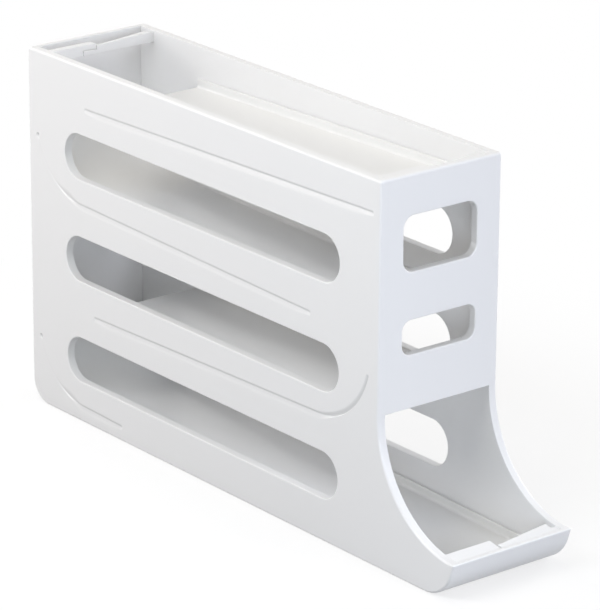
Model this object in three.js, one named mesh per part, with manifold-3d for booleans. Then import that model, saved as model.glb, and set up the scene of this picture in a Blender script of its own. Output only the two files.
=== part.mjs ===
// Egg holder: four zig-zag ramps between two slotted side panels, with a curved mouth at the front.
// Millimetres, +Z up, the mouth faces -Y. The origin is the middle of the footprint, on the floor.
import * as THREE from 'three';
import { mergeVertices } from 'three/addons/utils/BufferGeometryUtils.js';
import Module from 'manifold-3d';

const wasm = await Module();
wasm.setup();

// Overall sizes
const overallWidth = 80;
const overallHeight = 208;
const bodyLength = 306;
const lipReach = 60.8;

// What rolls through it
const eggDiameter = 44;
const dropClearance = 7;

// Walls and floors
const sideWall = 5;
const frontWall = 4.9;
const backWall = 3.6;
const lipWall = 3.1;
const trayFloor = 2.4;
const flangeThick = 1.2;
const flangeHigh = 5;
const edgeRound = 1;
const rimCorner = 1.5;

// Clearances: between pieces that touch, and how far a cutter runs past what it cuts
const fitGap = 0.3;
const cutOverrun = 2;

// Ramps
const rampAngle = THREE.MathUtils.degToRad(1.4);
const troughDepth = 21.4;
const evenStationShare = 0.595;
const rearTurnRadius = 42;
const rearTurnSweep = THREE.MathUtils.degToRad(76);
const rearTurnGap = 0.9;
const frontTurnRadius = 50;
const frontTurnInset = 1;

// Mouth lip
const lipHeight = 21.4;
const lipLean = THREE.MathUtils.degToRad(17);
const lipToeRadius = 22;
const lipFootFlat = 8.3;

// Lower back corner
const backCornerRadius = 14;
const backFootFlat = 8;

// Side slots
const slotHeight = 26.1;
const slotFrontInset = 31.8;
const slotBackInset = 34.4;
const slotRise = 28.7;

// Front windows
const windowWidth = 48.6;
const upperWindowHeight = 30;
const upperWindowRise = 43.8;
const upperWindowCorner = 6.7;
const lowerWindowHeight = 18.7;
const lowerWindowRise = 53.05;
const lowerWindowCorner = 5.7;

// Engraved lines on the side panels
const grooveWidth = 2.3;
const grooveDepth = 0.7;
const grooveSlope = 0.45;
const grooveFrontInset = 6.5;
const thirdGrooveStop = 6.6;
const bottomGrooveRun = 38;
const frontGrooveRadius = 44;
const frontGrooveSweep = THREE.MathUtils.degToRad(72);

// Cross arms that tie the two side panels together
const armThick = 4.3;
const armHigh = 6.5;
const armSink = 0.5;
const armCorner = 1;
const armRound = 0.4;
const backArmStandoff = 7.8;
const armSplit = 4.5;
const armLap = 9;
const armLapHigh = 3;
const armTaperShare = 0.78;
const armRootShare = 0.1;
const armNotch = 3.1;
const armClearance = 1;
const lipLedge = 12.3;
const lipLedgeSink = 0.15;
const mouthTaperShare = 0.59;

// Tabs that seat in blind sockets in the side panels
const tabReach = 2.2;
const trayTabLength = 16;
const wallTabLength = 14;
const lipTabLength = 6;
const tabThicknessShare = 0.45;
const tabShares = [0.12, 0.5, 0.88];

// Smoothness of curves
const wideArcSteps = 28;
const narrowArcSteps = 10;
const slotEndSteps = 16;
const cornerSteps = 4;
const bevelSteps = 3;

// Places that follow from the sizes
const channelHalf = overallWidth / 2 - sideWall;
const pieceHalf = channelHalf - fitGap;
const backInner = bodyLength - backWall;
const dropLength = eggDiameter + dropClearance;
const rearDropStart = backInner - dropLength;
const frontDropEnd = frontWall + dropLength;
const backArmFront = backInner - backArmStandoff - armThick;
const mouthTop = lipHeight + lipReach;
const totalLength = bodyLength + lipReach;
const rampSlope = Math.tan(rampAngle);

// The lip's leaning face meets its round toe where the two are tangent
const leanRun = (lipHeight - lipToeRadius * (1 - Math.sin(lipLean))) / Math.cos(lipLean);
const toeCentreY = -lipReach + leanRun * Math.sin(lipLean) + lipToeRadius * Math.cos(lipLean);
const lipFootEnd = toeCentreY + lipFootFlat;

// Running heights: the bottom ramp leaves the lip's foot flush, the top ramp lies below the rim
const evenStation = evenStationShare * bodyLength;
const lowestRun = lipWall + rampSlope * (evenStation - lipFootEnd);
const tierCount = 4;
const tierPitch = (overallHeight - troughDepth - lowestRun) / (tierCount - 1);
const bottomTier = 0;
const thirdTier = 1;
const secondTier = 2;
const topTier = 3;

// Even tiers rise towards the back, odd tiers towards the front
function tierSign(tier) {
  return tier % 2 === 0 ? 1 : -1;
}

function runHeight(tier, y) {
  return lowestRun + tier * tierPitch + tierSign(tier) * rampSlope * (y - evenStation);
}

function stationHeight(tier) {
  return lowestRun + tier * tierPitch;
}

const quarter = Math.PI / 2;

function arcPoints(centre, radius, fromAngle, toAngle, steps) {
  const points = [];
  for (let i = 0; i <= steps; i += 1) {
    const angle = fromAngle + ((toAngle - fromAngle) * i) / steps;
    points.push(new THREE.Vector2(
      centre.x + radius * Math.cos(angle),
      centre.y + radius * Math.sin(angle),
    ));
  }
  return points;
}

// Turns a closed geometry into a solid that can be joined and cut
function toSolid(geometry) {
  geometry.deleteAttribute('normal');
  geometry.deleteAttribute('uv');
  const merged = mergeVertices(geometry);
  return new wasm.Manifold(new wasm.Mesh({
    numProp: 3,
    vertProperties: new Float32Array(merged.attributes.position.array),
    triVerts: new Uint32Array(merged.index.array),
  }));
}

function toMesh(solid, name, material) {
  const data = solid.getMesh();
  const geometry = new THREE.BufferGeometry();
  geometry.setAttribute('position', new THREE.BufferAttribute(data.vertProperties, 3));
  geometry.setIndex(new THREE.BufferAttribute(data.triVerts, 1));
  geometry.computeVertexNormals();
  const mesh = new THREE.Mesh(geometry, material);
  mesh.name = name;
  return mesh;
}

// An outline in the side view, first axis along Y and second along Z, carried across X
const acrossX = new THREE.Matrix4().makeBasis(
  new THREE.Vector3(0, 1, 0), new THREE.Vector3(0, 0, 1), new THREE.Vector3(1, 0, 0),
);

// An outline in the front view, first axis along X and second along Z, carried towards -Y
const alongY = new THREE.Matrix4().makeBasis(
  new THREE.Vector3(1, 0, 0), new THREE.Vector3(0, 0, 1), new THREE.Vector3(0, -1, 0),
);

function slabAcross(shape, fromX, toX) {
  const geometry = new THREE.ExtrudeGeometry(shape, {
    depth: toX - fromX, bevelEnabled: false, curveSegments: slotEndSteps,
  });
  geometry.applyMatrix4(acrossX);
  geometry.translate(fromX, 0, 0);
  return toSolid(geometry);
}

function boxSolid(low, high) {
  const geometry = new THREE.BoxGeometry(high.x - low.x, high.y - low.y, high.z - low.z);
  geometry.translate((low.x + high.x) / 2, (low.y + high.y) / 2, (low.z + high.z) / 2);
  return toSolid(geometry);
}

// A slab whose two faces are smaller than its outline: by how much, from what depth and in how many steps
function easedSlab(shape, matrix, depth, ease) {
  const geometry = new THREE.ExtrudeGeometry(shape, {
    depth: depth - 2 * ease.depth,
    bevelEnabled: true,
    bevelThickness: ease.depth,
    bevelSize: ease.inset,
    bevelOffset: -ease.inset,
    bevelSegments: ease.steps,
    curveSegments: slotEndSteps,
  });
  geometry.translate(0, 0, ease.depth);
  geometry.applyMatrix4(matrix);
  return geometry;
}

// A slab with rounded edges on both faces
function roundedSlab(shape, matrix, depth, radius) {
  return easedSlab(shape, matrix, depth, { depth: radius, inset: radius, steps: bevelSteps });
}

// A polygon with its corners rounded off
function roundedPolygon(corners, radius) {
  const points = [];
  corners.forEach((corner, i) => {
    const before = corners[(i + corners.length - 1) % corners.length];
    const after = corners[(i + 1) % corners.length];
    const start = corner.clone().add(before.clone().sub(corner).setLength(radius));
    const end = corner.clone().add(after.clone().sub(corner).setLength(radius));
    points.push(...new THREE.QuadraticBezierCurve(start, corner, end).getPoints(cornerSteps));
  });
  return new THREE.Shape(points);
}

function stadium(fromY, toY, midZ, height) {
  const radius = height / 2;
  const path = new THREE.Path();
  path.absarc(toY - radius, midZ, radius, -quarter, quarter, false);
  path.absarc(fromY + radius, midZ, radius, quarter, quarter + Math.PI, false);
  path.closePath();
  return path;
}

function roundedWindow(midZ, height, corner) {
  const halfX = windowWidth / 2 - corner;
  const halfZ = height / 2 - corner;
  const path = new THREE.Path();
  path.absarc(halfX, midZ - halfZ, corner, -quarter, 0, false);
  path.absarc(halfX, midZ + halfZ, corner, 0, quarter, false);
  path.absarc(-halfX, midZ + halfZ, corner, quarter, Math.PI, false);
  path.absarc(-halfX, midZ - halfZ, corner, Math.PI, Math.PI + quarter, false);
  path.closePath();
  return path;
}

// The toe of the lip, from its leaning face down and round to the standing surface
function toePoints(radius) {
  const centre = new THREE.Vector2(toeCentreY, lipToeRadius);
  return arcPoints(centre, radius, Math.PI + lipLean, Math.PI + quarter, narrowArcSteps);
}

function backCornerPoints(radius) {
  const centre = new THREE.Vector2(bodyLength - backCornerRadius, backCornerRadius);
  return arcPoints(centre, radius, -quarter, 0, narrowArcSteps);
}

// The rounded corners of the rim, at the back and at the front
function backRimPoints() {
  const centre = new THREE.Vector2(bodyLength - rimCorner, overallHeight - rimCorner);
  return arcPoints(centre, rimCorner, 0, quarter, cornerSteps);
}

function frontRimPoints() {
  const centre = new THREE.Vector2(rimCorner, overallHeight - rimCorner);
  return arcPoints(centre, rimCorner, quarter, Math.PI, cornerSteps);
}

function sideOutline() {
  const mouthCentre = new THREE.Vector2(-lipReach, mouthTop);
  const mouth = arcPoints(mouthCentre, lipReach, 0, -quarter, wideArcSteps);
  const shape = new THREE.Shape([
    ...toePoints(lipToeRadius),
    ...backCornerPoints(backCornerRadius),
    ...backRimPoints(),
    ...frontRimPoints(),
    ...mouth,
  ]);
  for (const tier of [bottomTier, thirdTier, secondTier]) {
    const midZ = stationHeight(tier) + slotRise;
    shape.holes.push(stadium(slotFrontInset, bodyLength - slotBackInset, midZ, slotHeight));
  }
  return shape;
}

// The turn at a ramp's closed end: an arc tangent to the ramp, at the back (+1) or the front (-1).
// Its points are offset outwards from the running surface.
function turnCentre(tier, end) {
  const radius = end > 0 ? rearTurnRadius : frontTurnRadius;
  const rearLimit = bodyLength - backWall - trayFloor - rearTurnGap;
  const y = end > 0 ? rearLimit - radius : frontTurnInset + radius;
  const tangentY = y + end * radius * Math.sin(rampAngle);
  return { y, z: runHeight(tier, tangentY) + radius * Math.cos(rampAngle), radius };
}

function turnPoints(tier, end, offset, sweep, steps) {
  const centre = turnCentre(tier, end);
  const points = [];
  for (let i = 0; i <= steps; i += 1) {
    const angle = rampAngle + (sweep * i) / steps;
    points.push(new THREE.Vector2(
      centre.y + end * (centre.radius + offset) * Math.sin(angle),
      centre.z - (centre.radius + offset) * Math.cos(angle),
    ));
  }
  return points;
}

// How far round the front turn goes before the tray meets the front panel
function frontTraySweep() {
  const centre = turnCentre(thirdTier, -1);
  const reach = (centre.y - frontWall - fitGap) / (centre.radius + trayFloor);
  return Math.asin(reach) - rampAngle;
}

function traySweep(end) {
  return end > 0 ? rearTurnSweep : frontTraySweep();
}

// A line at a constant offset from a ramp's running surface, from its open end to its closed end
function runLine(tray, offset) {
  const drop = offset / Math.cos(rampAngle);
  const points = [new THREE.Vector2(tray.openY, runHeight(tray.tier, tray.openY) - drop)];
  if (tray.turn === 0) {
    points.push(new THREE.Vector2(tray.closedY, runHeight(tray.tier, tray.closedY) - drop));
  } else {
    points.push(...turnPoints(tray.tier, tray.turn, offset, traySweep(tray.turn), wideArcSteps / 2));
  }
  return points;
}

function bandShape(tray, lowOffset, highOffset) {
  return new THREE.Shape([...runLine(tray, lowOffset), ...runLine(tray, highOffset).reverse()]);
}

// Where a tab sits: its middle in the side view, its direction, its length and its thickness
function trayTabs(tray) {
  const end = tray.turn === 0 ? tray.closedY : turnCentre(tray.tier, tray.turn).y;
  return tabShares.map((share) => {
    const y = tray.openY + share * (end - tray.openY);
    const z = runHeight(tray.tier, y) - trayFloor / 2 / Math.cos(rampAngle);
    const angle = tierSign(tray.tier) * rampAngle;
    return { y, z, angle, length: trayTabLength, thickness: trayFloor };
  });
}

function wallTabs(y, lowZ, highZ, wall) {
  return tabShares.map((share) => ({
    y,
    z: lowZ + share * (highZ - lowZ),
    angle: quarter,
    length: wallTabLength,
    thickness: wall * tabThicknessShare,
  }));
}

function lipTabs() {
  const middle = lipToeRadius - lipWall / 2;
  const toeAngle = (Math.PI + lipLean + Math.PI + quarter) / 2;
  const thickness = lipWall * tabThicknessShare;
  return [
    { y: toeCentreY + lipFootFlat / 2, z: lipWall / 2, angle: 0, length: lipTabLength, thickness },
    {
      y: toeCentreY + middle * Math.cos(toeAngle),
      z: lipToeRadius + middle * Math.sin(toeAngle),
      angle: toeAngle + quarter,
      length: lipTabLength,
      thickness,
    },
  ];
}

// A bar across X at a tab's place, wider all round by the clearance
function tabBar(tab, halfX, clearance) {
  const geometry = new THREE.BoxGeometry(
    2 * halfX, tab.length + 2 * clearance, tab.thickness + 2 * clearance,
  );
  geometry.rotateX(tab.angle);
  geometry.translate(0, tab.y, tab.z);
  return toSolid(geometry);
}

function addTabs(solid, tabs) {
  return tabs.reduce((sum, tab) => sum.add(tabBar(tab, pieceHalf + tabReach, 0)), solid);
}

// A line engraved in a side panel's outer face, with round ends, as an outline round its middle line
function strokeShape(points) {
  const radius = grooveWidth / 2;
  const left = [];
  const right = [];
  points.forEach((point, i) => {
    const before = points[Math.max(i - 1, 0)];
    const after = points[Math.min(i + 1, points.length - 1)];
    const along = after.clone().sub(before).normalize();
    const side = new THREE.Vector2(-along.y, along.x).multiplyScalar(radius);
    left.push(point.clone().add(side));
    right.push(point.clone().sub(side));
  });
  const first = points[0].clone().sub(points[1]).angle();
  const last = points[points.length - 1].clone().sub(points[points.length - 2]).angle();
  const half = narrowArcSteps / 2;
  const endCap = arcPoints(points[points.length - 1], radius, last - quarter, last + quarter, half);
  const startCap = arcPoints(points[0], radius, first - quarter, first + quarter, half);
  return new THREE.Shape([
    ...right.slice(1, -1), ...endCap, ...left.slice(1, -1).reverse(), ...startCap,
  ]);
}

// The engraved front turn: tangent to the ramp where the tray's turn is, and a little tighter
function frontGrooveTurn() {
  const [start] = turnPoints(thirdTier, -1, 0, 0, 1);
  const centre = new THREE.Vector2(
    start.x + frontGrooveRadius * Math.sin(rampAngle),
    start.y + frontGrooveRadius * Math.cos(rampAngle),
  );
  const fromAngle = -quarter - rampAngle;
  return arcPoints(centre, frontGrooveRadius, fromAngle, fromAngle - frontGrooveSweep, wideArcSteps / 2);
}

function groovePoints() {
  const onRun = (tier, y) => new THREE.Vector2(y, runHeight(tier, y));
  const rearTurn = (tier) => turnPoints(tier, 1, 0, rearTurnSweep, wideArcSteps / 2);
  const bottomStop = turnCentre(bottomTier, 1).y - bottomGrooveRun;
  return [
    [onRun(topTier, grooveFrontInset), onRun(topTier, rearDropStart)],
    [onRun(secondTier, frontDropEnd), ...rearTurn(secondTier)],
    [onRun(thirdTier, rearDropStart - thirdGrooveStop), ...frontGrooveTurn()],
    [onRun(bottomTier, bottomStop), ...rearTurn(bottomTier)],
  ];
}

// The mouth's curve: its height at a place in Y
function mouthHeight(y) {
  return mouthTop - Math.sqrt(lipReach ** 2 - (y + lipReach) ** 2);
}

// The cross arms in the side view: upright at the top front and top back
function uprightArm(lowY) {
  const highY = lowY + armThick;
  const topZ = overallHeight - armSink;
  const lowZ = topZ - armHigh;
  return {
    corners: [[lowY, lowZ], [highY, lowZ], [highY, topZ], [lowY, topZ]],
    lowY,
    highY,
    lowZ,
    highZ: topZ,
    taper: armTaperShare * armThick,
  };
}

// In the mouth they lean with the lip, and their top rises with the mouth's curve
function mouthArm() {
  const topZ = lipHeight - armSink;
  const lowZ = topZ - armHigh;
  const innerY = (z) => -lipReach + (lipHeight - z) * Math.tan(lipLean) + lipWall / Math.cos(lipLean);
  const lowY = innerY(topZ) + fitGap;
  const highY = -lipReach + lipLedge;
  const highZ = mouthHeight(highY) - lipLedgeSink;
  return {
    corners: [[innerY(lowZ) + fitGap, lowZ], [highY, lowZ], [highY, highZ], [lowY, topZ]],
    lowY,
    highY,
    lowZ,
    highZ,
    taper: mouthTaperShare * (highY - lowY),
  };
}

const crossArms = [
  uprightArm(frontWall + fitGap),
  uprightArm(backArmFront),
  mouthArm(),
];

// A bar with an arm's side view and rounded edges, its root inside the side panel
function armBar(arm, fromX, toX) {
  const corners = arm.corners.map(([y, z]) => new THREE.Vector2(y, z));
  const shape = roundedPolygon(corners, armCorner);
  const geometry = roundedSlab(shape, acrossX, toX - fromX, armRound);
  geometry.translate(fromX, 0, 0);
  return toSolid(geometry);
}

// A box that takes in the whole of an arm in Y, between two places in X and two heights
function acrossArm(arm, fromX, toX, fromZ, toZ) {
  return boxSolid(
    new THREE.Vector3(fromX, arm.lowY - cutOverrun, fromZ),
    new THREE.Vector3(toX, arm.highY + cutOverrun, toZ),
  );
}

// The left arm has a square end with a step cut out under it, where the right arm's tip laps in
function leftArm(arm) {
  const bar = armBar(arm, -channelHalf - sideWall / 2, -armSplit);
  const stepTop = arm.lowZ + armLapHigh + fitGap;
  const step = acrossArm(arm, -armSplit - armLap, -armSplit + cutOverrun, arm.lowZ - cutOverrun, stepTop);
  return bar.subtract(step);
}

// The right arm thins towards its tip and has a relief notch at its root
function rightArm(arm) {
  const tipX = -armSplit + fitGap;
  const notchX = channelHalf - armNotch;
  const bar = armBar(arm, tipX - armLap, channelHalf + sideWall / 2);
  const tipY = arm.highY - arm.taper;
  const rootY = arm.highY - armRootShare * (arm.highY - arm.lowY);
  const wedge = new THREE.Shape([
    new THREE.Vector2(tipX - armLap - cutOverrun, tipY),
    new THREE.Vector2(tipX, tipY),
    new THREE.Vector2(notchX, rootY),
    new THREE.Vector2(notchX, tipY),
    new THREE.Vector2(channelHalf, tipY),
    new THREE.Vector2(channelHalf, arm.highY + cutOverrun),
    new THREE.Vector2(tipX - armLap - cutOverrun, arm.highY + cutOverrun),
  ]);
  const cutter = new THREE.ExtrudeGeometry(wedge, {
    depth: arm.highZ - arm.lowZ + 2 * cutOverrun, bevelEnabled: false,
  });
  cutter.translate(0, 0, arm.lowZ - cutOverrun);
  const lapFloor = arm.lowZ + armLapHigh;
  const lapTop = acrossArm(arm, tipX - armLap - cutOverrun, tipX, lapFloor, arm.highZ + cutOverrun);
  return bar.subtract(toSolid(cutter)).subtract(lapTop);
}

// The top tray ends where an egg tipping over its edge just clears the arm that spans the drop
function topDropStart() {
  const rise = troughDepth - armSink - armHigh;
  return backArmFront - Math.sqrt((eggDiameter + armClearance) ** 2 - rise ** 2);
}

// The trays, from the top down
const trays = [
  { name: 'top_tray', tier: topTier, turn: 0, openY: topDropStart(), closedY: frontWall + fitGap },
  { name: 'second_tray', tier: secondTier, turn: 1, openY: frontDropEnd },
  { name: 'third_tray', tier: thirdTier, turn: -1, openY: rearDropStart },
  { name: 'bottom_tray', tier: bottomTier, turn: 1, openY: lipFootEnd + fitGap },
];

const frontTabs = wallTabs(frontWall / 2, mouthTop, overallHeight, frontWall);
const backTabs = wallTabs(bodyLength - backWall / 2, backCornerRadius, overallHeight, backWall);
const allTabs = [...frontTabs, ...backTabs, ...lipTabs(), ...trays.flatMap(trayTabs)];

// The cutter of an engraved line: full width at the panel's face, with walls that slope in to its floor
function grooveCutter(points, side) {
  const ease = { depth: grooveDepth, inset: grooveSlope, steps: 1 };
  const geometry = easedSlab(strokeShape(points), acrossX, 2 * grooveDepth + cutOverrun, ease);
  const outerX = side * (overallWidth / 2);
  const reach = side < 0 ? grooveDepth + cutOverrun : grooveDepth;
  geometry.translate(outerX - reach, 0, 0);
  return toSolid(geometry);
}

// A side panel: slots through it, lines engraved outside, blind sockets inside. The side is -1 or +1.
function sidePanel(side) {
  const outerX = side * (overallWidth / 2);
  const innerX = side * channelHalf;
  const depth = sideWall + 2 * edgeRound + cutOverrun;
  const geometry = roundedSlab(sideOutline(), acrossX, depth, edgeRound);
  geometry.translate(side < 0 ? outerX : outerX - depth, 0, 0);
  const keep = boxSolid(
    new THREE.Vector3(Math.min(outerX, innerX), -lipReach - cutOverrun, -cutOverrun),
    new THREE.Vector3(
      Math.max(outerX, innerX), bodyLength + cutOverrun, overallHeight + cutOverrun,
    ),
  );
  let panel = toSolid(geometry).intersect(keep);
  for (const points of groovePoints()) {
    panel = panel.subtract(grooveCutter(points, side));
  }
  for (const arm of crossArms) {
    panel = panel.add(side < 0 ? leftArm(arm) : rightArm(arm));
  }
  for (const tab of allTabs) {
    panel = panel.subtract(tabBar(tab, channelHalf + tabReach, fitGap));
  }
  return panel;
}

function frontPanel() {
  const reach = pieceHalf + edgeRound;
  const shape = new THREE.Shape([
    new THREE.Vector2(-reach, mouthTop),
    new THREE.Vector2(reach, mouthTop),
    new THREE.Vector2(reach, overallHeight),
    new THREE.Vector2(-reach, overallHeight),
  ]);
  const upperMid = stationHeight(secondTier) + upperWindowRise;
  const lowerMid = stationHeight(thirdTier) + lowerWindowRise;
  shape.holes.push(roundedWindow(upperMid, upperWindowHeight, upperWindowCorner));
  shape.holes.push(roundedWindow(lowerMid, lowerWindowHeight, lowerWindowCorner));
  const depth = frontWall + 2 * edgeRound + cutOverrun;
  const geometry = roundedSlab(shape, alongY, depth, edgeRound);
  geometry.translate(0, depth, 0);
  const keep = boxSolid(
    new THREE.Vector3(-pieceHalf, 0, 0),
    new THREE.Vector3(pieceHalf, frontWall, overallHeight),
  );
  return addTabs(toSolid(geometry).intersect(keep), frontTabs);
}

function backPanel() {
  const footStart = bodyLength - backCornerRadius - backFootFlat;
  const shape = new THREE.Shape([
    new THREE.Vector2(footStart, 0),
    ...backCornerPoints(backCornerRadius),
    ...backRimPoints(),
    new THREE.Vector2(backInner, overallHeight),
    ...backCornerPoints(backCornerRadius - backWall).reverse(),
    new THREE.Vector2(footStart, backWall),
  ]);
  return addTabs(slabAcross(shape, -pieceHalf, pieceHalf), backTabs);
}

function frontLip() {
  const shape = new THREE.Shape([
    new THREE.Vector2(-lipReach, lipHeight),
    ...toePoints(lipToeRadius),
    new THREE.Vector2(lipFootEnd, 0),
    new THREE.Vector2(lipFootEnd, lipWall),
    ...toePoints(lipToeRadius - lipWall).reverse(),
    new THREE.Vector2(-lipReach + lipWall / Math.cos(lipLean), lipHeight),
  ]);
  return addTabs(slabAcross(shape, -pieceHalf, pieceHalf), lipTabs());
}

// A ramp: a floor that turns up at its closed end, with a low flange along each side
function trayPiece(tray) {
  let solid = slabAcross(bandShape(tray, trayFloor, 0), -pieceHalf, pieceHalf);
  for (const side of [-1, 1]) {
    const outer = side * pieceHalf;
    const inner = side * (pieceHalf - flangeThick);
    const band = bandShape(tray, trayFloor / 2, -flangeHigh);
    solid = solid.add(slabAcross(band, Math.min(outer, inner), Math.max(outer, inner)));
  }
  return addTabs(solid, trayTabs(tray));
}

function whitePlastic(shade) {
  return new THREE.MeshStandardMaterial({ color: shade, roughness: 0.35, metalness: 0 });
}

const body = new THREE.Group();
body.position.set(0, lipReach - totalLength / 2, 0);
body.add(toMesh(sidePanel(-1), 'left_side_panel', whitePlastic(0xf0f0ee)));
body.add(toMesh(sidePanel(1), 'right_side_panel', whitePlastic(0xf0f0ee)));
body.add(toMesh(frontPanel(), 'front_panel', whitePlastic(0xeef0f2)));
body.add(toMesh(backPanel(), 'back_panel', whitePlastic(0xf0f0ee)));
body.add(toMesh(frontLip(), 'front_lip', whitePlastic(0xeef0f2)));
for (const tray of trays) {
  body.add(toMesh(trayPiece(tray), tray.name, whitePlastic(0xf2f1ee)));
}

const eggHolder = new THREE.Group();
eggHolder.add(body);

export default eggHolder;
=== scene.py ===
from collections import namedtuple
import math

import bmesh
import bpy
from mathutils import Matrix, Vector


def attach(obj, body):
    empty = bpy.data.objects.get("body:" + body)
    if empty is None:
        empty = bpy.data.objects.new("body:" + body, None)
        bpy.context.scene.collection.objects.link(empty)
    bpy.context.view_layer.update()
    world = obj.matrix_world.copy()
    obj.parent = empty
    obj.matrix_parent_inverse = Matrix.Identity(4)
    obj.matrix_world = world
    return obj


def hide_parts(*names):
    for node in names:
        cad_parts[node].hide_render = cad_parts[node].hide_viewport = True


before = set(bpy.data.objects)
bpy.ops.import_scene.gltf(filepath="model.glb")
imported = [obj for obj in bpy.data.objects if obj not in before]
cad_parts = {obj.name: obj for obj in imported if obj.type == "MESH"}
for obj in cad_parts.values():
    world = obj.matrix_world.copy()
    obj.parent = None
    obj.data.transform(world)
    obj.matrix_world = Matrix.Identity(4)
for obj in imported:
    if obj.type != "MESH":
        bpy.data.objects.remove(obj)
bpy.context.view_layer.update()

# The object's sizes, the lens and the sensor are in millimetres. The places and sizes of what is round
# the object, and the depth of the grain, are in metres
MM = 0.001

# Overall sizes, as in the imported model
WIDTH = 80.0
HEIGHT = 208.0
BODY_LENGTH = 306.0
LIP_REACH = 60.8
SIDE_WALL = 5.0
FRONT_WALL = 4.9
BACK_WALL = 3.6
LIP_WALL = 3.1

# Ramps
BOTTOM, THIRD, SECOND, TOP = range(4)
EGG_DIAMETER = 44.0
DROP_CLEARANCE = 7.0
TRAY_FLOOR = 2.4
FLANGE_THICK = 1.2
FLANGE_HIGH = 5.0
TRAY_GAP = 0.3
RAMP_ANGLE = math.radians(1.4)
TROUGH_DEPTH = 21.4
EVEN_STATION_SHARE = 0.595
REAR_TURN_RADIUS = 42.0
REAR_TURN_SWEEP = math.radians(76)
REAR_TURN_GAP = 0.9
FRONT_TURN_RADIUS = 50.0
FRONT_TURN_INSET = 1.0

# Mouth lip and lower back corner
LIP_HEIGHT = 21.4
LIP_LEAN = math.radians(17)
LIP_TOE_RADIUS = 22.0
LIP_FOOT_FLAT = 8.3
BACK_CORNER_RADIUS = 14.0
BACK_FOOT_FLAT = 8.0

# Slots and windows, whose middles lie at a rise above a ramp's station
SLOT_HEIGHT = 26.1
SLOT_FRONT_INSET = 31.8
SLOT_BACK_INSET = 34.4
SLOT_RISE = 28.7
WINDOW_WIDTH = 48.6
UPPER_WINDOW = {"height": 30.0, "rise": 43.8, "corner": 6.7}
LOWER_WINDOW = {"height": 18.7, "rise": 53.05, "corner": 5.7}

# Engraved lines
GROOVE_DEPTH = 0.5
GROOVE_FLOOR = 0.24
# Painted shade in the engraved lines: at an ordinary line's full depth the plastic's colour is scaled by
# this, and more where a section goes deeper
GROOVE_PAINTED_SHADE = 0.86
GROOVE_STEPS = 8
GROOVE_RAMP_EASE = 0.67
GROOVE_TAPER = 12.0
GROOVE_TURN_FINENESS = 2
FRONT_GROOVE_RADIUS = 44.0
FRONT_GROOVE_SWEEP = math.radians(72)
REAR_GROOVE_SWEEP = math.radians(72.4)
GROOVE_FRONT_INSET = 6.5
THIRD_GROOVE_STOP = 6.6
BOTTOM_GROOVE_RUN = 35.5

# An engraved line's section: the distances from its middle line to its inner edge, to its outer edge
# and, inwards, to its floor, and its share of the depth, which also sets how much painted shade it gets
Section = namedtuple("Section", "inner outer floor depth_share")
STRAIGHT_SECTION = Section(0.55, 4.4, -1.0, 1.0)
END_SECTION = Section(0.55, 3.0, -1.0, 1.0)
FRONT_SECTION = Section(1.4, 1.9, -1.3, 1.4)
FRONT_END_SECTION = Section(1.2, 1.1, -0.8, 1.4)
REAR_SECTION = Section(3.2, 1.5, -0.5, 1.0)
FADED_SECTION = Section(0.9, 0.9, 0.0, 0.15)
PIT_SECTION = Section(1.5, 1.5, 0.0, 2.6)

# The sections along a turn, each with its share of the turn
FRONT_TURN_SECTIONS = [(0.0, STRAIGHT_SECTION), (0.28, FRONT_SECTION), (1.0, FRONT_END_SECTION)]
REAR_TURN_SECTIONS = [(0.0, STRAIGHT_SECTION), (0.2, REAR_SECTION), (0.5, FADED_SECTION),
                      (0.96, FADED_SECTION), (0.985, PIT_SECTION), (1.0, PIT_SECTION)]

# Cross arms
ARM_THICK = 4.3
ARM_HIGH = 6.5
ARM_SINK = 0.5
BACK_ARM_STANDOFF = 7.8
ARM_SPLIT = 4.5
ARM_GAP = 0.3
ARM_TAPER_SHARE = 0.78
ARM_ROOT_SHARE = 0.1
ARM_NOTCH = 3.1
ARM_LAP = 9.0
ARM_LAP_HIGH = 3.0
ARM_CLEARANCE = 1.0
ARM_ROOT_SINK = 1.0
ARM_TIP_DROP = 1.5
LIP_LEDGE = 12.3
LIP_LEDGE_SINK = 0.15
MOUTH_TAPER_SHARE = 0.59

# Softness of edges
RIM_ROUND = 1.4
CORNER_ROUND = 1.5
TIP_ROUND = 0.7
TIP_FADE = 5.0
SLOT_ROUND = 0.5
INNER_ROUND = 0.5
WINDOW_ROUND = 0.8
FRONT_FOOT_SHARE = 0.4
TRAY_OUTER_ROUND = 0.8
TRAY_INNER_ROUND = 1.5
TRAY_END_ROUND = 0.45
FLANGE_ROUND = 0.55
ARM_ROUND = 0.4
ARM_END_ROUND = 1.6

# How finely curves are stepped, which corners stay sharp, and the least gap
ARC_TOLERANCE = 0.008
FEWEST_ARC_STEPS = 3
EDGE_STEPS = 5
SMOOTH_TURN_SINE = 0.4
SHARP_ANGLE = math.radians(38)
LARGE_FACE_WEIGHT = 100
HAIRLINE = 0.02

# Sizes that follow from those above
FRONT_FACE_Y = (LIP_REACH - BODY_LENGTH) / 2
CHANNEL_HALF = WIDTH / 2 - SIDE_WALL
SEALED_HALF = CHANNEL_HALF - HAIRLINE
MOUTH_TOP = LIP_HEIGHT + LIP_REACH
BACK_INNER = BODY_LENGTH - BACK_WALL
DROP_LENGTH = EGG_DIAMETER + DROP_CLEARANCE
REAR_DROP_START = BACK_INNER - DROP_LENGTH
FRONT_DROP_END = FRONT_WALL + DROP_LENGTH
LEAN_RUN = (LIP_HEIGHT - LIP_TOE_RADIUS * (1 - math.sin(LIP_LEAN))) / math.cos(LIP_LEAN)
TOE_CENTRE_Y = (-LIP_REACH + LEAN_RUN * math.sin(LIP_LEAN)
                + LIP_TOE_RADIUS * math.cos(LIP_LEAN))
LIP_FOOT_END = TOE_CENTRE_Y + LIP_FOOT_FLAT
RAMP_SLOPE = math.tan(RAMP_ANGLE)
EVEN_STATION = EVEN_STATION_SHARE * BODY_LENGTH
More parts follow.
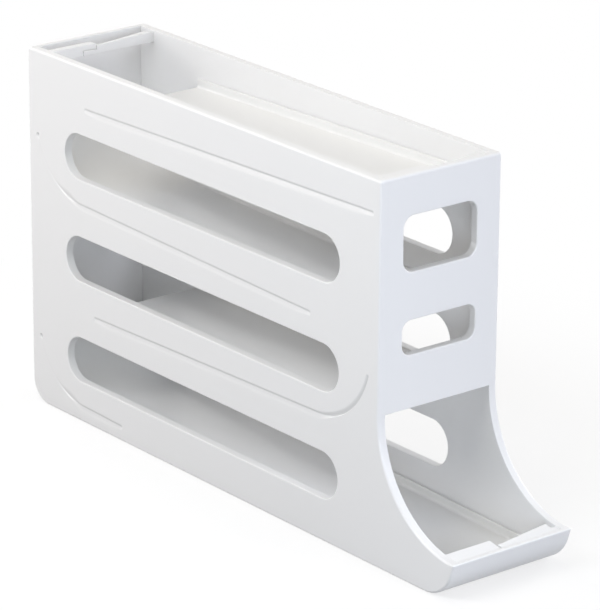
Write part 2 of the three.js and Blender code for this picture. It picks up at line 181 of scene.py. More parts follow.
LOWEST_RUN = LIP_WALL + RAMP_SLOPE * (EVEN_STATION - LIP_FOOT_END)
TIER_PITCH = (HEIGHT - TROUGH_DEPTH - LOWEST_RUN) / TOP

# The camera, fitted to the photograph's straight edges
CAMERA_PLACE = Vector((-1.2200, -1.5330, 0.8009))
CAMERA_AZIMUTH = math.radians(-38.682)
CAMERA_ELEVATION = math.radians(19.698)
CAMERA_ROLL = math.radians(0.387)
CAMERA_LENS = 230.13
SENSOR_HEIGHT = 36.0
NEAREST_SEEN = 0.1
FARTHEST_SEEN = 50.0

# Soft studio lights: name, place, size, power and colour
LIGHT_TARGET = Vector((0.0, 0.0, 0.11))
LIGHTS = [
    ("high_left_back", (-0.95, 0.25, 0.95), 0.7, 5.05, (0.91, 0.925, 1.0)),
    ("above_left", (-0.42, -0.15, 0.62), 0.35, 1.17, (0.98, 1.0, 0.98)),
    ("low_left_back", (-0.55, 0.40, 0.26), 0.3, 1.24, (1.0, 0.96, 0.92)),
    ("low_left_front", (-0.35, -0.65, 0.16), 0.25, 1.38, (0.86, 0.92, 1.0)),
    ("top_soft", (-0.1, 0.0, 1.2), 0.8, 2.46, (1.0, 0.91, 0.76)),
    ("front_soft", (0.25, -1.1, 0.5), 0.6, 5.75, (0.84, 0.87, 0.98)),
    ("right_fill", (1.0, -0.1, 0.42), 0.7, 6.0, (1.0, 1.0, 1.0)),
    ("back_fill", (0.0, 1.1, 0.42), 0.7, 6.0, (1.0, 1.0, 1.0)),
]

# Surround and floor
WHITE = (1.0, 1.0, 1.0, 1.0)
AROUND_STRENGTH = 0.05
FLOOR_HALF = 6.0
FLOOR_COLOUR = (0.25, 0.25, 0.25, 1.0)
FLOOR_SEEN_COLOUR = (0.97, 0.97, 0.97, 1.0)
FLOOR_ROUGHNESS = 0.9
FLOOR_FADE = {"From Min": 0.16, "From Max": 0.40, "To Min": 0.7}

# Plastics: light tone, dark tone and roughness, and what they have in common
PANEL_PLASTIC = ((0.88, 0.88, 0.88, 1.0), (0.86, 0.86, 0.86, 1.0), 0.36)
TRAY_PLASTIC = ((0.87, 0.87, 0.86, 1.0), (0.85, 0.85, 0.84, 1.0), 0.32)
PLASTIC_SURFACE = {"IOR": 1.49, "Coat Weight": 0.15, "Coat Roughness": 0.12}
TONE_NOISE = {"Scale": 9.0, "Detail": 3.0}
GLOSS_NOISE = {"Scale": 60.0, "Detail": 4.0}
GLOSSIER = 0.04
DULLER = 0.05
GRAIN_NOISE = {"Scale": 1800.0, "Detail": 2.0}
GRAIN_BUMP = {"Strength": 0.05, "Distance": 0.0002}


def tier_sign(tier):
    """1 for a ramp that falls to the front, -1 for one that falls to the back."""
    return 1 if tier % 2 == 0 else -1


def station_height(tier):
    return LOWEST_RUN + tier * TIER_PITCH


def run_height(tier, y):
    return station_height(tier) + tier_sign(tier) * RAMP_SLOPE * (y - EVEN_STATION)


def mouth_height(y):
    return MOUTH_TOP - math.sqrt(LIP_REACH ** 2 - (y + LIP_REACH) ** 2)


def arc_steps(radius, sweep):
    """Enough steps for an arc to stay within the tolerance of a true one."""
    if radius <= ARC_TOLERANCE:
        return 1
    step = 2 * math.acos(1 - ARC_TOLERANCE / radius)
    return max(FEWEST_ARC_STEPS, math.ceil(abs(sweep) / step))


def arc_points(centre, radius, start, end):
    steps = arc_steps(radius, end - start)
    angles = [start + (end - start) * k / steps for k in range(steps + 1)]
    return [centre + radius * Vector((math.cos(angle), math.sin(angle))) for angle in angles]


def smooth_share(share):
    """The share eased in and out, from 0 to 1."""
    return share * share * (3 - 2 * share)


def rounded_loop(corners):
    """A closed loop through (u, v, radius) corners, counter-clockwise, each corner rounded."""
    loop = []
    for i, (u, v, radius) in enumerate(corners):
        here = Vector((u, v))
        if radius == 0:
            loop.append(here)
            continue
        back = (Vector(corners[i - 1][:2]) - here).normalized()
        ahead = (Vector(corners[(i + 1) % len(corners)][:2]) - here).normalized()
        half = back.angle(ahead) / 2
        centre = here + (back + ahead).normalized() * radius / math.sin(half)
        start = here + back * radius / math.tan(half) - centre
        sweep = math.pi - 2 * half
        turn = 1 if back.x * ahead.y - back.y * ahead.x < 0 else -1
        steps = arc_steps(radius, sweep)
        for k in range(steps + 1):
            angle = turn * sweep * k / steps
            rotated = Vector((
                start.x * math.cos(angle) - start.y * math.sin(angle),
                start.x * math.sin(angle) + start.y * math.cos(angle)))
            loop.append(centre + rotated)
    return loop


def inset_loop(loop, distances):
    """The loop moved to its left, each side by its own distance, which may drift along smooth runs."""
    count = len(loop)
    normals = []
    for i in range(count):
        side = (loop[(i + 1) % count] - loop[i]).normalized()
        normals.append(Vector((-side.y, side.x)))
    moved = []
    for i in range(count):
        before, after = normals[i - 1], normals[i]
        shift_before, shift_after = distances[i - 1], distances[i]
        sine = before.x * after.y - before.y * after.x
        if abs(sine) < SMOOTH_TURN_SINE:
            middle = (before + after).normalized()
            moved.append(loop[i] + middle * (shift_before + shift_after) / 2 / middle.dot(before))
        else:
            shift = Vector((
                shift_before * after.y - shift_after * before.y,
                shift_after * before.x - shift_before * after.x)) / sine
            moved.append(loop[i] + shift)
    return moved


def round_levels(radius):
    """A quarter-round edge, as (inset, depth below the face) from the face inwards."""
    if radius == 0:
        return [(0.0, 0.0)]
    angles = [math.pi / 2 * k / EDGE_STEPS for k in range(EDGE_STEPS + 1)]
    return [(radius * (1 - math.sin(angle)), radius * (1 - math.cos(angle))) for angle in angles]


def add_object(name, data):
    added = bpy.data.objects.new(name, data)
    bpy.context.scene.collection.objects.link(added)
    return added


class Solid:
    """A closed mesh built from loops of points in (u, v, w), placed by a function into the frame."""

    def __init__(self, place):
        self.mesh = bmesh.new()
        self.place = place
        # How deep each engraved point lies, which the plastic turns into painted shade
        self.engraved = self.mesh.verts.layers.float.new("engraved")

    def ring(self, loop, w):
        return [self.mesh.verts.new(self.place(point.x, point.y, w)) for point in loop]

    def sunk_ring(self, loop, face):
        """A ring of (u, v, depth) points below a face, which remembers how deep each point lies, for the
        painted shade in the grooves.
        """
        ring = [self.mesh.verts.new(self.place(point.x, point.y, face - point.z)) for point in loop]
        for vert, point in zip(ring, loop):
            vert[self.engraved] = point.z / GROOVE_DEPTH
        return ring

    def strip(self, rings):
        """Sides from each ring to the next."""
        for low, high in zip(rings, rings[1:]):
            count = len(low)
            for i in range(count):
                j = (i + 1) % count
                self.mesh.faces.new((low[i], low[j], high[j], high[i]))

    def cap(self, rings):
        """A flat face within the first ring and round the others."""
        edges = []
        for ring in rings:
            for i, vert in enumerate(ring):
                pair = (vert, ring[(i + 1) % len(ring)])
                edges.append(self.mesh.edges.get(pair) or self.mesh.edges.new(pair))
        bmesh.ops.triangle_fill(self.mesh, edges=edges, use_beauty=True, use_dissolve=False)

    def finish(self, name, material, stands_for=None):
        bmesh.ops.recalc_face_normals(self.mesh, faces=self.mesh.faces[:])
        data = bpy.data.meshes.new(name)
        self.mesh.to_mesh(data)
        self.mesh.free()
        for polygon in data.polygons:
            polygon.use_smooth = True
        data.set_sharp_from_angle(angle=SHARP_ANGLE)
        data.materials.append(material)
        piece = add_object(name, data)
        weighted = piece.modifiers.new("even_shading", "WEIGHTED_NORMAL")
        weighted.keep_sharp = True
        weighted.weight = LARGE_FACE_WEIGHT
        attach(piece, "root")
        if stands_for:
            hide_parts(stands_for)


def slab(solid, outer, holes, low, high, low_edges, high_edges, recesses=()):
    """A plate between two levels of w. Each loop has its own rounding at each face.

    outer and holes are loops with the plate on their left. low_edges and high_edges hold, for each
    loop, its edge radius and a function of a side's middle that gives the share of it used there.
    recesses are lists of loops of (u, v, depth), each list from the high face down to a floor.
    """
    low_caps = []
    high_caps = []
    for index, loop in enumerate([outer, *holes]):
        low_round, low_share = low_edges[index]
        high_round, high_share = high_edges[index]
        middles = [(loop[i] + loop[(i + 1) % len(loop)]) / 2 for i in range(len(loop))]
        rings = []
        for inset, depth in round_levels(low_round):
            distances = [inset * low_share(middle) for middle in middles]
            rings.append(solid.ring(inset_loop(loop, distances), low + depth))
        for inset, depth in reversed(round_levels(high_round)):
            distances = [inset * high_share(middle) for middle in middles]
            rings.append(solid.ring(inset_loop(loop, distances), high - depth))
        solid.strip(rings)
        low_caps.append(rings[0])
        high_caps.append(rings[-1])
    for loops in recesses:
        rings = [solid.sunk_ring(loop, high) for loop in loops]
        solid.strip(rings)
        solid.cap([rings[-1]])
        high_caps.append(rings[0])
    solid.cap(low_caps)
    solid.cap(high_caps)


def everywhere(middle):
    return 1.0


def nowhere(middle):
    return 0.0


def across(side):
    """Places (y, z, distance out from the middle plane) on the left (-1) or right (+1)."""
    return lambda u, v, w: Vector((side * w, u + FRONT_FACE_Y, v)) * MM


def facing_front(u, v, w):
    """Places (x, z, height above the back of the front wall)."""
    return Vector((u, FRONT_FACE_Y + FRONT_WALL - w, v)) * MM


def upright(u, v, w):
    """Places (x, y, z)."""
    return Vector((u, v + FRONT_FACE_Y, w)) * MM


def toe_corner():
    """Where the lip's leaning face would meet the standing surface."""
    return -LIP_REACH + LIP_HEIGHT * math.tan(LIP_LEAN)


def mouth_arcs():
    """The mouth's curve from the front face forwards, and the lip's rounded tip at its end."""
    centre = Vector((-LIP_REACH, MOUTH_TOP))
    lean = LIP_REACH * math.cos(LIP_LEAN)
    along = math.sqrt(lean ** 2 + 2 * LIP_REACH * TIP_ROUND * (1 + math.sin(LIP_LEAN))) - lean
    tip = Vector((
        -LIP_REACH + along * math.sin(LIP_LEAN) + TIP_ROUND * math.cos(LIP_LEAN),
        LIP_HEIGHT - along * math.cos(LIP_LEAN) + TIP_ROUND * math.sin(LIP_LEAN)))
    towards = tip - centre
    meet = math.atan2(towards.y, towards.x)
    mouth = arc_points(centre, LIP_REACH, 0.0, meet)
    return mouth, arc_points(tip, TIP_ROUND, meet + math.pi, math.pi + LIP_LEAN)


def side_loop():
    """The side view's outline, with points on the rim where the front and back walls end."""
    mouth, tip = mouth_arcs()
    return rounded_loop([
        (toe_corner(), 0, LIP_TOE_RADIUS),
        (BODY_LENGTH, 0, BACK_CORNER_RADIUS),
        (BODY_LENGTH, HEIGHT, CORNER_ROUND),
        (BACK_INNER, HEIGHT, 0),
        (FRONT_WALL, HEIGHT, 0),
        (0, HEIGHT, CORNER_ROUND),
        *[(point.x, point.y, 0) for point in mouth + tip[1:]],
    ])


def opening_loop(start, end, middle, height, corner):
    """A round-cornered opening, clockwise, so that the plate lies on its left."""
    low, high = middle - height / 2, middle + height / 2
    corners = [(start, low), (end, low), (end, high), (start, high)]
    return rounded_loop([(u, v, corner) for u, v in corners])[::-1]


def slot_loop(tier):
    middle = station_height(tier) + SLOT_RISE
    end = BODY_LENGTH - SLOT_BACK_INSET
    return opening_loop(SLOT_FRONT_INSET, end, middle, SLOT_HEIGHT, SLOT_HEIGHT / 2 - HAIRLINE)


def window_loop(window, tier):
    middle = station_height(tier) + window["rise"]
    half = WINDOW_WIDTH / 2
    return opening_loop(-half, half, middle, window["height"], window["corner"])


def run_point(tier, y):
    """A point on a ramp's straight, and the normal there."""
    normal = Vector((-tier_sign(tier) * math.sin(RAMP_ANGLE), math.cos(RAMP_ANGLE)))
    return Vector((y, run_height(tier, y))), normal


def turn_centre(tier, end):
    """The centre, as (y, z), and the radius of a ramp's turn at the back (1) or the front (-1)."""
    radius = REAR_TURN_RADIUS if end > 0 else FRONT_TURN_RADIUS
    rear_limit = BODY_LENGTH - BACK_WALL - TRAY_FLOOR - REAR_TURN_GAP
    y = rear_limit - radius if end > 0 else FRONT_TURN_INSET + radius
    tangent_y = y + end * radius * math.sin(RAMP_ANGLE)
    return Vector((y, run_height(tier, tangent_y) + radius * math.cos(RAMP_ANGLE))), radius


def turn_points(centre, radius, end, sweep, steps):
    """(point, normal) along a turn, from where it leaves the straight."""
    points = []
    for k in range(steps + 1):
        angle = RAMP_ANGLE + sweep * k / steps
        normal = Vector((-end * math.sin(angle), math.cos(angle)))
        points.append((centre - radius * normal, normal))
    return points


def turn_path(tier, end, sweep):
    centre, radius = turn_centre(tier, end)
    return turn_points(centre, radius, end, sweep, arc_steps(radius, sweep))


def front_tray_sweep():
    """How far the third tray turns up before it would touch the front wall."""
    centre, radius = turn_centre(THIRD, -1)
    return math.asin((centre.x - FRONT_WALL - TRAY_GAP) / (radius + TRAY_FLOOR)) - RAMP_ANGLE


def section_at(keys, share):
    """The section at a share of a turn, eased between the keys on its two sides."""
    for (start, before), (end, after) in zip(keys, keys[1:]):
        if share <= end:
            eased = smooth_share((share - start) / (end - start))
            return Section(*(a + (b - a) * eased for a, b in zip(before, after)))


def engraved_run(tier, start_y, end_y, open_end):
    """(point, normal, section) along an engraved straight, which is narrower at its open ends."""
    taper = GROOVE_TAPER if end_y > start_y else -GROOVE_TAPER
    keys = [(start_y, END_SECTION), (start_y + taper, STRAIGHT_SECTION)]
    if open_end:
        keys += [(end_y - taper, STRAIGHT_SECTION), (end_y, END_SECTION)]
    return [(*run_point(tier, y), section) for y, section in keys]


def engraved_turn(tier, end, radius, sweep, keys):
    """(point, normal, section) along an engraved turn, from where it leaves the straight."""
    start, normal = turn_path(tier, end, sweep)[0]
    steps = GROOVE_TURN_FINENESS * arc_steps(radius, sweep)
    points = turn_points(start + radius * normal, radius, end, sweep, steps)
    return [(*place, section_at(keys, k / steps)) for k, place in enumerate(points)]


def groove_paths():
    """The engraved lines' paths: one beside each ramp, with a turned end where the ramp has one."""
    second_turn, bottom_turn = [
        engraved_turn(tier, 1, REAR_TURN_RADIUS, REAR_GROOVE_SWEEP, REAR_TURN_SECTIONS)
        for tier in (SECOND, BOTTOM)]
    front_turn = engraved_turn(THIRD, -1, FRONT_GROOVE_RADIUS, FRONT_GROOVE_SWEEP,
                               FRONT_TURN_SECTIONS)
    third_start = REAR_DROP_START - THIRD_GROOVE_STOP
    bottom_start = turn_centre(BOTTOM, 1)[0].x - BOTTOM_GROOVE_RUN
    return [
        engraved_run(TOP, GROOVE_FRONT_INSET, REAR_DROP_START, True),
        engraved_run(SECOND, FRONT_DROP_END, second_turn[0][0].x, False) + second_turn,
        engraved_run(THIRD, third_start, front_turn[0][0].x, False) + front_turn,
        engraved_run(BOTTOM, bottom_start, bottom_turn[0][0].x, False) + bottom_turn,
    ]


def stroke_loop(path, steps):
    """A closed clockwise loop of (u, v, depth) round a line, with round ends.

    path holds points, their normals, their distances to the loop's two sides, and their depths.
    """
    ahead = 1 if path[-1][0].x > path[0][0].x else -1

    def cap(end, turn):
        point, normal, inner, outer, depth = end
        centre = point + normal * (inner - outer) / 2
        radius = (inner + outer) / 2
        arc = []
        for k in range(1, steps):
            angle = -ahead * math.pi * k / steps
            cosine, sine = turn * math.cos(angle), turn * math.sin(angle)
            arc.append(Vector((
                centre.x + radius * (normal.x * cosine - normal.y * sine),
                centre.y + radius * (normal.x * sine + normal.y * cosine),
                depth)))
        return arc

    left = [Vector((*(point + normal * inner), depth)) for point, normal, inner, _, depth in path]
    right = [Vector((*(point - normal * outer), depth)) for point, normal, _, outer, depth in path]
    loop = left + cap(path[-1], 1) + right[::-1] + cap(path[0], -1)
    return loop if ahead > 0 else loop[::-1]


def groove_levels(path):
    """An engraved line's loops, from the face to its narrow floor."""
    half = GROOVE_FLOOR / 2
    steps = arc_steps((END_SECTION.inner + END_SECTION.outer) / 2, math.pi)
    levels = []
    for k in range(GROOVE_STEPS + 1):
        share = k / GROOVE_STEPS
        inward = math.sin(math.pi * share / 2) ** 2
        sides = []
        for point, normal, (inner, outer, floor, depth_share) in path:
            sides.append((
                point, normal,
                floor + half + (inner - floor - half) * (1 - share),
                half - floor + (outer + floor - half) * (1 - inward ** GROOVE_RAMP_EASE),
                GROOVE_DEPTH * depth_share * inward))
        levels.append(stroke_loop(sides, steps))
    return levels


def side_panel(side, name, material):
    """Slotted and engraved, with its outer edges well rounded and its inner rim just broken."""
    solid = Solid(across(side))
    slots = [slot_loop(tier) for tier in (BOTTOM, THIRD, SECOND)]
    grooves = [groove_levels(path) for path in groove_paths()]

    def open_rim(middle):
        on_top = middle.y > HEIGHT - HAIRLINE and FRONT_WALL < middle.x < BACK_INNER
        on_mouth = middle.x < -HAIRLINE and LIP_HEIGHT < middle.y < MOUTH_TOP
        return 1.0 if on_top or on_mouth else 0.0

    def outer_rim(middle):
        from_tip = (middle - Vector((-LIP_REACH, LIP_HEIGHT))).length
        return min(1.0, (TIP_ROUND / 2 + from_tip / TIP_FADE) / RIM_ROUND)

    slab(solid, side_loop(), slots, CHANNEL_HALF, WIDTH / 2,
         [(INNER_ROUND, open_rim)] + [(INNER_ROUND, everywhere)] * len(slots),
         [(RIM_ROUND, outer_rim)] + [(SLOT_ROUND, everywhere)] * len(slots),
         grooves)
    solid.finish(name + "_shell", material, name)


def front_panel(material):
    """The front wall, sealed against the side panels, with its windows' edges rounded."""
    solid = Solid(facing_front)
    corners = [(-SEALED_HALF, MOUTH_TOP), (SEALED_HALF, MOUTH_TOP),
               (SEALED_HALF, HEIGHT), (-SEALED_HALF, HEIGHT)]
    outer = rounded_loop([(u, v, 0) for u, v in corners])
    windows = [window_loop(UPPER_WINDOW, SECOND), window_loop(LOWER_WINDOW, THIRD)]

    def level_edge(middle):
        return 1.0 if abs(middle.x) < SEALED_HALF - HAIRLINE else 0.0

    def outer_edge(middle):
        return level_edge(middle) * (1.0 if middle.y > MOUTH_TOP + HAIRLINE else FRONT_FOOT_SHARE)

    slab(solid, outer, windows, 0.0, FRONT_WALL,
         [(INNER_ROUND, level_edge)] + [(INNER_ROUND, everywhere)] * len(windows),
         [(CORNER_ROUND, outer_edge)] + [(WINDOW_ROUND, everywhere)] * len(windows))
    solid.finish("front_panel_shell", material, "front_panel")


def full_width(name, loop, material):
    """Carries a side-view outline from one side panel to the other, with plain ends."""
    solid = Solid(across(1))
    plain = [(0, nowhere)]
    slab(solid, loop, [], -SEALED_HALF, SEALED_HALF, plain, plain)
    solid.finish(name + "_shell", material, name)


def back_panel(material):
    foot = BODY_LENGTH - BACK_CORNER_RADIUS - BACK_FOOT_FLAT
    full_width("back_panel", rounded_loop([
        (foot, 0, 0), (BODY_LENGTH, 0, BACK_CORNER_RADIUS),
        (BODY_LENGTH, HEIGHT, CORNER_ROUND), (BACK_INNER, HEIGHT, INNER_ROUND),
        (BACK_INNER, BACK_WALL, BACK_CORNER_RADIUS - BACK_WALL), (foot, BACK_WALL, 0),
    ]), material)


def front_lip(material):
    wall = LIP_WALL / math.cos(LIP_LEAN)
    inner_toe = toe_corner() + wall - LIP_WALL * math.tan(LIP_LEAN)
    tip = mouth_arcs()[1]
    full_width("front_lip", rounded_loop([
        *[(point.x, point.y, 0) for point in tip], (toe_corner(), 0, LIP_TOE_RADIUS),
        (LIP_FOOT_END, 0, 0), (LIP_FOOT_END, LIP_WALL, 0),
        (inner_toe, LIP_WALL, LIP_TOE_RADIUS - LIP_WALL),
        (-LIP_REACH + wall, LIP_HEIGHT, INNER_ROUND),
    ]), material)


def tray(name, path, material):
    """A U-shaped channel carried along a ramp's path, with its end edges broken."""
    half = CHANNEL_HALF - TRAY_GAP
    inner = half - FLANGE_THICK
    section = rounded_loop([
        (-half, -TRAY_FLOOR, TRAY_OUTER_ROUND), (half, -TRAY_FLOOR, TRAY_OUTER_ROUND),
        (half, FLANGE_HIGH, FLANGE_ROUND), (inner, FLANGE_HIGH, FLANGE_ROUND),
        (inner, 0, TRAY_INNER_ROUND), (-inner, 0, TRAY_INNER_ROUND),
        (-inner, FLANGE_HIGH, FLANGE_ROUND), (-half, FLANGE_HIGH, FLANGE_ROUND),
    ])
    solid = Solid(upright)

    def ring_at(point, normal, inset=0.0):
        ring = []
        for corner in inset_loop(section, [inset] * len(section)):
            place = point + normal * corner.y
            ring.append(solid.mesh.verts.new(solid.place(corner.x, place.x, place.y)))
        return ring

    def end_rings(end, normal, neighbour, levels):
        along = (neighbour - end).normalized()
        return [ring_at(end + along * depth, normal, inset) for inset, depth in levels]

    levels = round_levels(TRAY_END_ROUND)
    rings = end_rings(*path[0], path[1][0], levels)
    rings += [ring_at(point, normal) for point, normal in path[1:-1]]
    rings += end_rings(*path[-1], path[-2][0], levels[::-1])
    solid.strip(rings)
    solid.cap([rings[0]])
    solid.cap([rings[-1]])
    solid.finish(name + "_channel", material, name)


def top_drop_start():
    """Where what rolls over the top tray's edge just clears the arm that spans the drop."""
    arm_front = BACK_INNER - BACK_ARM_STANDOFF - ARM_THICK
    rise = TROUGH_DEPTH - ARM_SINK - ARM_HIGH
    return arm_front - math.sqrt((EGG_DIAMETER + ARM_CLEARANCE) ** 2 - rise ** 2)


def tray_paths():
    return {
        "top_tray": [run_point(TOP, FRONT_WALL + TRAY_GAP), run_point(TOP, top_drop_start())],
        "second_tray": [run_point(SECOND, FRONT_DROP_END), *turn_path(SECOND, 1, REAR_TURN_SWEEP)],
        "third_tray": [run_point(THIRD, REAR_DROP_START), *turn_path(THIRD, -1, front_tray_sweep())],
        "bottom_tray": [run_point(BOTTOM, LIP_FOOT_END + TRAY_GAP),
                        *turn_path(BOTTOM, 1, REAR_TURN_SWEEP)],
    }


# A cross arm: its front and back in Y, its top in Z, the share of its thickness that its right half
# loses towards the tip, its front's lean, its top's rise to the back, and its drop to the right tip
Arm = namedtuple("Arm", "front back top taper_share lean rise drop")


def cross_arms():
    mouth_top = LIP_HEIGHT - ARM_SINK
    lip_inner = (-LIP_REACH + (LIP_HEIGHT - mouth_top) * math.tan(LIP_LEAN)
                 + LIP_WALL / math.cos(LIP_LEAN) + ARM_GAP)
    mouth_back = -LIP_REACH + LIP_LEDGE
    mouth_rise = mouth_height(mouth_back) - LIP_LEDGE_SINK - mouth_top
    front = FRONT_WALL + ARM_GAP
    back = BACK_INNER - BACK_ARM_STANDOFF
    top = HEIGHT - ARM_SINK
    return {
        "top_front": Arm(front, front + ARM_THICK, top, ARM_TAPER_SHARE, 0.0, 0.0, ARM_TIP_DROP),
        "top_back": Arm(back - ARM_THICK, back, top, ARM_TAPER_SHARE, 0.0, 0.0, ARM_TIP_DROP),
        "mouth": Arm(lip_inner, mouth_back, mouth_top, MOUTH_TAPER_SHARE, math.tan(LIP_LEAN),
                     mouth_rise, 0.0),
    }


def arm_shape(arm):
    """Places (x, y, z) of an upright arm, with its front's lean, its top's rise and its tip's drop."""
    foot = arm.top - ARM_HIGH

    def shaped(x, y, z):
        ahead = (arm.back - y) / (arm.back - arm.front)
        from_root = (CHANNEL_HALF - x) / (CHANNEL_HALF + ARM_SPLIT)
        fall = arm.drop * min(1.0, max(0.0, from_root)) if x > -ARM_SPLIT else 0.0
        lifted = z + (arm.rise * (1 - ahead) - fall) * (z - foot) / ARM_HIGH
        return upright(x, y + arm.lean * ahead * (arm.top - z), lifted)

    return shaped


def arm_bar(solid, corners, low, high):
    loop = rounded_loop(corners)
    slab(solid, loop, [], low, high, [(ARM_ROUND, everywhere)], [(ARM_ROUND, everywhere)])


def left_arm(name, arm, material):
    """A bar seen from the front: its end has a rounded top, and a step under it for the other's tongue."""
    shaped = arm_shape(arm)
    solid = Solid(lambda u, v, w: shaped(u, w, v))
    foot = arm.top - ARM_HIGH
    root = -CHANNEL_HALF - ARM_ROOT_SINK
    step_top = foot + ARM_LAP_HIGH + ARM_GAP
    arm_bar(solid, [
        (root, foot, ARM_ROUND), (-ARM_SPLIT - ARM_LAP, foot, ARM_ROUND),
        (-ARM_SPLIT - ARM_LAP, step_top, ARM_ROUND), (-ARM_SPLIT, step_top, ARM_ROUND),
        (-ARM_SPLIT, arm.top, ARM_END_ROUND), (root, arm.top, ARM_ROUND),
    ], arm.front, arm.back)
    solid.finish(name, material)


def right_arm(name, arm, material):
    """A bar seen in plan: it thins towards its tip, is notched at its root and has a low tongue."""
    solid = Solid(arm_shape(arm))
    foot = arm.top - ARM_HIGH
    taper_y = arm.back - arm.taper_share * (arm.back - arm.front)
    root_y = arm.back - ARM_ROOT_SHARE * (arm.back - arm.front)
    tip = -ARM_SPLIT + ARM_GAP
    notch = CHANNEL_HALF - ARM_NOTCH
    root = CHANNEL_HALF + ARM_ROOT_SINK
    arm_bar(solid, [(u, v, ARM_ROUND) for u, v in (
        (tip, arm.front), (root, arm.front), (root, taper_y),
        (notch, taper_y), (notch, root_y), (tip, taper_y))], foot, arm.top)
    near, far = arm.front + HAIRLINE, taper_y - HAIRLINE
    start, end = tip - ARM_LAP, tip + ARM_ROOT_SINK
    arm_bar(solid, [(u, v, ARM_ROUND) for u, v in (
        (start, near), (end, near), (end, far), (start, far))], foot + HAIRLINE, foot + ARM_LAP_HIGH)
    solid.finish(name, material)


class Graph:
    """A node tree, to which nodes are added with their settings, values and links."""

    def __init__(self, owner):
        owner.use_nodes = True
        self.nodes = owner.node_tree.nodes
        self.links = owner.node_tree.links

    def fill(self, node, inputs):
        """Gives a node's inputs their values, or links them to other nodes' outputs."""
        for key, value in inputs.items():
            if isinstance(value, bpy.types.NodeSocket):
                self.links.new(value, node.inputs[key])
            else:
                node.inputs[key].default_value = value
        return node

    def add(self, kind, inputs, **settings):
        node = self.nodes.new("ShaderNode" + kind)
        for key, value in settings.items():
            setattr(node, key, value)
        return self.fill(node, inputs)

    def seen(self):
        """1 for the rays that see the background: straight from the camera, by gloss or through glass."""
        rays = self.add("LightPath", {}).outputs
        first = self.add("Math", {0: rays["Is Camera Ray"], 1: rays["Is Glossy Ray"]},
                         operation="MAXIMUM")
        second = self.add("Math", {0: first.outputs["Value"], 1: rays["Is Transmission Ray"]},
                          operation="MAXIMUM")
        return second.outputs["Value"]


def white_plastic(name, light, shade, roughness):
    """Satin moulded plastic: near-white with a faint drift of tone, painted shade that darkens the
    engraved lines the deeper they go, and fine grain.
    """
    material = bpy.data.materials.new(name)
    graph = Graph(material)
    place = graph.add("TexCoord", {}).outputs["Object"]

    drift = graph.add("TexNoise", {**TONE_NOISE, "Vector": place})
    tone = graph.add("Mix", {"Factor": drift.outputs["Fac"], "A": light, "B": shade},
                     data_type="RGBA")
    # Painted shade: the colour is scaled down by how deep each point of an engraved line lies
    engraved = graph.add("Attribute", {}, attribute_name="engraved")
    depth = graph.add("MapRange", {
        "Value": engraved.outputs["Fac"], "To Min": 1.0, "To Max": GROOVE_PAINTED_SHADE}, clamp=False)
    painted_shade_tone = graph.add("VectorMath", {0: tone.outputs["Result"], "Scale": depth.outputs["Result"]},
                       operation="SCALE")

    cloud = graph.add("TexNoise", {**GLOSS_NOISE, "Vector": place})
    gloss = graph.add("MapRange", {
        "Value": cloud.outputs["Fac"], "To Min": roughness - GLOSSIER, "To Max": roughness + DULLER})

    grain = graph.add("TexNoise", {**GRAIN_NOISE, "Vector": place})
    bump = graph.add("Bump", {**GRAIN_BUMP, "Height": grain.outputs["Fac"]})
    graph.fill(graph.nodes["Principled BSDF"], {
        **PLASTIC_SURFACE,
        "Base Color": painted_shade_tone.outputs["Vector"],
        "Roughness": gloss.outputs["Result"],
        "Normal": bump.outputs["Normal"],
    })
    return material


def floor_material():
    """A pale grey floor that the camera sees as white, with the object's soft shadow on it."""
    material = bpy.data.materials.new("pale_floor")
    graph = Graph(material)
    seen = graph.seen()
    tone = graph.add("Mix", {"Factor": seen, "A": FLOOR_COLOUR, "B": FLOOR_SEEN_COLOUR},
                     data_type="RGBA")
    shader = graph.fill(graph.nodes["Principled BSDF"], {
        "Roughness": FLOOR_ROUGHNESS, "Base Color": tone.outputs["Result"]})
    place = graph.add("TexCoord", {}).outputs["Object"]
    far = graph.add("VectorMath", {0: place}, operation="LENGTH")
    fade = graph.add("MapRange", {**FLOOR_FADE, "Value": far.outputs["Value"]},
                     interpolation_type="SMOOTHSTEP")
    both = graph.add("Math", {0: fade.outputs["Result"], 1: seen}, operation="MULTIPLY")
    white = graph.add("Emission", {"Color": WHITE})
    mix = graph.add("MixShader", {
        "Fac": both.outputs["Value"], 1: shader.outputs["BSDF"], 2: white.outputs["Emission"]})
    graph.fill(graph.nodes["Material Output"], {"Surface": mix.outputs["Shader"]})
    return material


def add_floor():
    data = bpy.data.meshes.new("floor")
    corners = [(-FLOOR_HALF, -FLOOR_HALF), (FLOOR_HALF, -FLOOR_HALF),
               (FLOOR_HALF, FLOOR_HALF), (-FLOOR_HALF, FLOOR_HALF)]
    data.from_pydata([(x, y, 0) for x, y in corners], [], [(0, 1, 2, 3)])
    data.materials.append(floor_material())
    floor = add_object("floor", data)


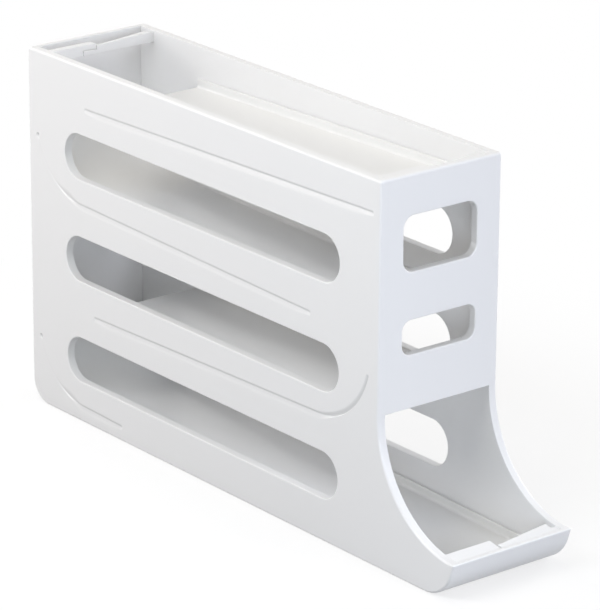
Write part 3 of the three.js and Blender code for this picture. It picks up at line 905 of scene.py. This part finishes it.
def add_world():
    """An even pale surround, which is plain white wherever it is seen."""
    world = bpy.data.worlds.new("studio")
    bpy.context.scene.world = world
    graph = Graph(world)
    graph.nodes.clear()
    around = graph.add("Background", {"Color": WHITE, "Strength": AROUND_STRENGTH})
    seen = graph.add("Background", {"Color": WHITE, "Strength": 1.0})
    mix = graph.add("MixShader", {
        "Fac": graph.seen(), 1: around.outputs["Background"], 2: seen.outputs["Background"]})
    graph.add("OutputWorld", {"Surface": mix.outputs["Shader"]})


def add_camera():
    data = bpy.data.cameras.new("photo_camera")
    data.sensor_fit = "VERTICAL"
    data.sensor_height = SENSOR_HEIGHT
    data.lens = CAMERA_LENS
    data.clip_start = NEAREST_SEEN
    data.clip_end = FARTHEST_SEEN
    camera = add_object("photo_camera", data)
    back = Vector((
        math.sin(CAMERA_AZIMUTH) * math.cos(CAMERA_ELEVATION),
        -math.cos(CAMERA_AZIMUTH) * math.cos(CAMERA_ELEVATION),
        math.sin(CAMERA_ELEVATION)))
    level = Vector((math.cos(CAMERA_AZIMUTH), math.sin(CAMERA_AZIMUTH), 0.0))
    upward = back.cross(level)
    right = math.cos(CAMERA_ROLL) * level + math.sin(CAMERA_ROLL) * upward
    up = math.cos(CAMERA_ROLL) * upward - math.sin(CAMERA_ROLL) * level
    turn = Matrix((right, up, back)).transposed().to_4x4()
    camera.matrix_world = Matrix.Translation(CAMERA_PLACE) @ turn
    bpy.context.scene.camera = camera


def add_area_light(name, place, size, watts, colour):
    data = bpy.data.lights.new(name, "AREA")
    data.shape = "SQUARE"
    data.size = size
    data.energy = watts
    data.color = colour
    light = add_object(name, data)
    light.location = place
    light.rotation_euler = (LIGHT_TARGET - light.location).to_track_quat("-Z", "Y").to_euler()
    light.visible_camera = False


bpy.context.scene.view_settings.view_transform = "Standard"
add_camera()
for light_values in LIGHTS:
    add_area_light(*light_values)
add_world()
add_floor()

panel_white = white_plastic("panel_white", *PANEL_PLASTIC)
tray_white = white_plastic("tray_white", *TRAY_PLASTIC)

side_panel(-1, "left_side_panel", panel_white)
side_panel(1, "right_side_panel", panel_white)
front_panel(panel_white)
back_panel(panel_white)
front_lip(panel_white)
for tray_name, tray_path in tray_paths().items():
    tray(tray_name, tray_path, tray_white)
for arm_name, cross_arm in cross_arms().items():
    left_arm("left_arm_" + arm_name, cross_arm, panel_white)
    right_arm("right_arm_" + arm_name, cross_arm, panel_white)

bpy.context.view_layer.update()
